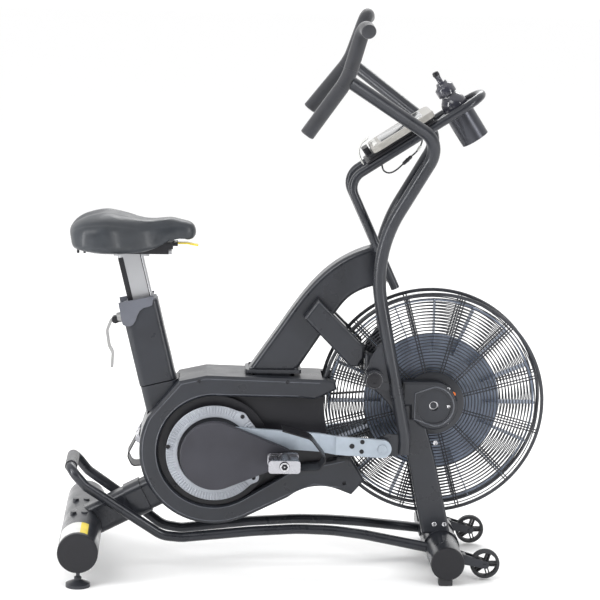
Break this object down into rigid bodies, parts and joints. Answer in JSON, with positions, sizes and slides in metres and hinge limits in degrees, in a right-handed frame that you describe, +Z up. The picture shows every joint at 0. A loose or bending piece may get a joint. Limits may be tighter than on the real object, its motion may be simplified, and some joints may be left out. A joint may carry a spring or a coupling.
{
  "type": "air bike",
  "caption": "Upright exercise bike with a caged fan, push-pull handle arms linked to the cranks, adjustable saddle, console and bottle holder.",
  "frame": {"origin": "on the floor, under the middle of the machine's length and width", "axes": "+X forwards from saddle to fan, +Y to the rider's left, +Z up"},
  "size_m": [1.215, 0.6872, 1.3954],
  "materials": {
    "frame_paint": "satin anthracite powder coat",
    "housing_plastic": "moulded, fine grain",
    "dark_plastic": "moulded, satin",
    "collar_plastic": "moulded, satin",
    "silver_plastic": "silver, satin",
    "link_silver": "silver paint",
    "steel": "bright",
    "web_steel": "painted",
    "cast_aluminium": "polished casting",
    "post_aluminium": "brushed, anodised",
    "lever_grey": "satin",
    "guard_wire": "powder coat",
    "fan_paint": "blue-grey paint",
    "belt_rubber": "ribbed belt",
    "foot_rubber": "soft rubber",
    "grip_foam": "closed-cell foam",
    "saddle_vinyl": "satin vinyl over foam",
    "lever_yellow": "glossy",
    "console_plastic": "light moulded case",
    "bottle_plastic": "smoky translucent",
    "cable_sheath": "thin signal cable"
  },
  "bodies": {
    "frame": {"rear_stabiliser": "frame_paint", "front_stabiliser": "frame_paint", "stabiliser_caps": "dark_plastic", "front_feet": "foot_rubber", "rear_spar": "frame_paint", "seat_tube": "frame_paint", "seat_tube_covers": "housing_plastic", "sleeve_insert": "collar_plastic", "main_spine": "frame_paint", "ball_bearings": "steel", "housing_right": "housing_plastic", "housing_left": "housing_plastic", "dust_covers": "housing_plastic", "main_beam": "frame_paint", "mounting_plates": "frame_paint", "fan_braces": "frame_paint", "front_legs": "frame_paint", "arm_pivot_shafts": "steel", "side_rails": "frame_paint", "rear_handle_sleeve": "grip_foam", "fan_guard_right": "guard_wire", "fan_guard_left": "guard_wire", "hub_covers": "housing_plastic", "drive_belt": "belt_rubber", "console_frame": "frame_paint", "console_tray": "dark_plastic", "console": "console_plastic", "cup_holder": "dark_plastic", "console_cable": "cable_sheath", "wheel_forks": "frame_paint", "frame_bolts": "steel"},
    "foot_right": {"levelling_foot_right": "steel"},
    "foot_left": {"levelling_foot_left": "steel"},
    "crank": {"crankshaft": "steel", "drive_pulley": "cast_aluminium", "crank_webs": "web_steel", "ribbed_rings": "silver_plastic", "crank_arms": "web_steel", "pedal_spindles": "steel", "crank_covers": "dark_plastic"},
    "pedal_right": {"pedal_right": "cast_aluminium", "toe_cage_right": "dark_plastic"},
    "pedal_left": {"pedal_left": "cast_aluminium", "toe_cage_left": "dark_plastic"},
    "link_right": {"drive_link_right": "link_silver"},
    "link_left": {"drive_link_left": "link_silver"},
    "fan": {"fan_wheel": "fan_paint", "fan_shaft": "steel"},
    "arm_right": {"handle_arm_right": "frame_paint", "grips_right": "grip_foam"},
    "arm_left": {"handle_arm_left": "frame_paint", "grips_left": "grip_foam"},
    "wheel_right": {"transport_wheel_right": "foot_rubber"},
    "wheel_left": {"transport_wheel_left": "foot_rubber"},
    "seat_post": {"seat_post": "post_aluminium"},
    "seat": {"seat_slider": "dark_plastic", "saddle": "saddle_vinyl"},
    "seat_lever": {"seat_lever": "lever_yellow"},
    "clamp_lever": {"clamp_lever": "lever_grey"},
    "bottle": {"bottle": "bottle_plastic"}
  },
  "joints": [
    {"name": "crank_spin", "type": "hinge", "parent": "frame", "child": "crank", "pos_m": [-0.226, 0, 0.304], "axis": [0, 1, 0], "continuous": true},
    {"name": "pedal_spin_right", "type": "hinge", "parent": "crank", "child": "pedal_right", "pos_m": [-0.056, -0.179, 0.304], "axis": [0, 1, 0], "continuous": true},
    {"name": "pedal_spin_left", "type": "hinge", "parent": "crank", "child": "pedal_left", "pos_m": [-0.396, 0.179, 0.304], "axis": [0, 1, 0], "continuous": true},
    {"name": "link_turn_right", "type": "hinge", "parent": "crank", "child": "link_right", "pos_m": [-0.22338, -0.101, 0.35393], "axis": [0, 1, 0], "continuous": true},
    {"name": "link_turn_left", "type": "hinge", "parent": "crank", "child": "link_left", "pos_m": [-0.22862, 0.101, 0.25407], "axis": [0, 1, 0], "continuous": true},
    {"name": "fan_spin", "type": "hinge", "parent": "frame", "child": "fan", "pos_m": [0.323, 0, 0.425], "axis": [0, 1, 0], "continuous": true},
    {"name": "arm_swing_right", "type": "hinge", "parent": "frame", "child": "arm_right", "pos_m": [0.167, -0.099, 0.501], "axis": [0, 1, 0], "range_deg": [-16, 16]},
    {"name": "arm_swing_left", "type": "hinge", "parent": "frame", "child": "arm_left", "pos_m": [0.167, 0.099, 0.501], "axis": [0, 1, 0], "range_deg": [-16, 16]},
    {"name": "wheel_spin_right", "type": "hinge", "parent": "frame", "child": "wheel_right", "pos_m": [0.454, -0.156, 0.0415], "axis": [0, 1, 0], "continuous": true},
    {"name": "wheel_spin_left", "type": "hinge", "parent": "frame", "child": "wheel_left", "pos_m": [0.454, 0.156, 0.0415], "axis": [0, 1, 0], "continuous": true},
    {"name": "foot_screw_right", "type": "slide", "parent": "frame", "child": "foot_right", "axis": [0, 0, 1], "range_m": [-0.012, 0.01]},
    {"name": "foot_screw_left", "type": "slide", "parent": "frame", "child": "foot_left", "axis": [0, 0, 1], "range_m": [-0.012, 0.01]},
    {"name": "seat_height", "type": "slide", "parent": "frame", "child": "seat_post", "axis": [-0.2351, 0, 0.972], "range_m": [-0.08, 0.1]},
    {"name": "seat_fore_aft", "type": "slide", "parent": "seat_post", "child": "seat", "axis": [1, 0, 0], "range_m": [-0.03, 0.03]},
    {"name": "seat_lever_lift", "type": "hinge", "parent": "seat", "child": "seat_lever", "pos_m": [-0.328, 0, 0.819], "axis": [0, -1, 0], "range_deg": [0, 10], "stiffness_Nm_per_rad": 0.3, "springref_deg": -5.73},
    {"name": "clamp_turn", "type": "hinge", "parent": "frame", "child": "clamp_lever", "pos_m": [-0.4063, 0, 0.644], "axis": [-0.972, 0, -0.2351], "range_deg": [0, 60]},
    {"name": "bottle_lift", "type": "slide", "parent": "frame", "child": "bottle", "axis": [-0.547, 0, 0.8371], "range_m": [0, 0.2]}
  ],
  "couplings": [
    {"joint": "link_turn_right", "follows": "crank_spin", "ratio": -1},
    {"joint": "link_turn_left", "follows": "crank_spin", "ratio": -1},
    {"joint": "fan_spin", "follows": "crank_spin", "ratio": 4},
    {"joint": "arm_swing_left", "follows": "arm_swing_right", "ratio": -1}
  ]
}
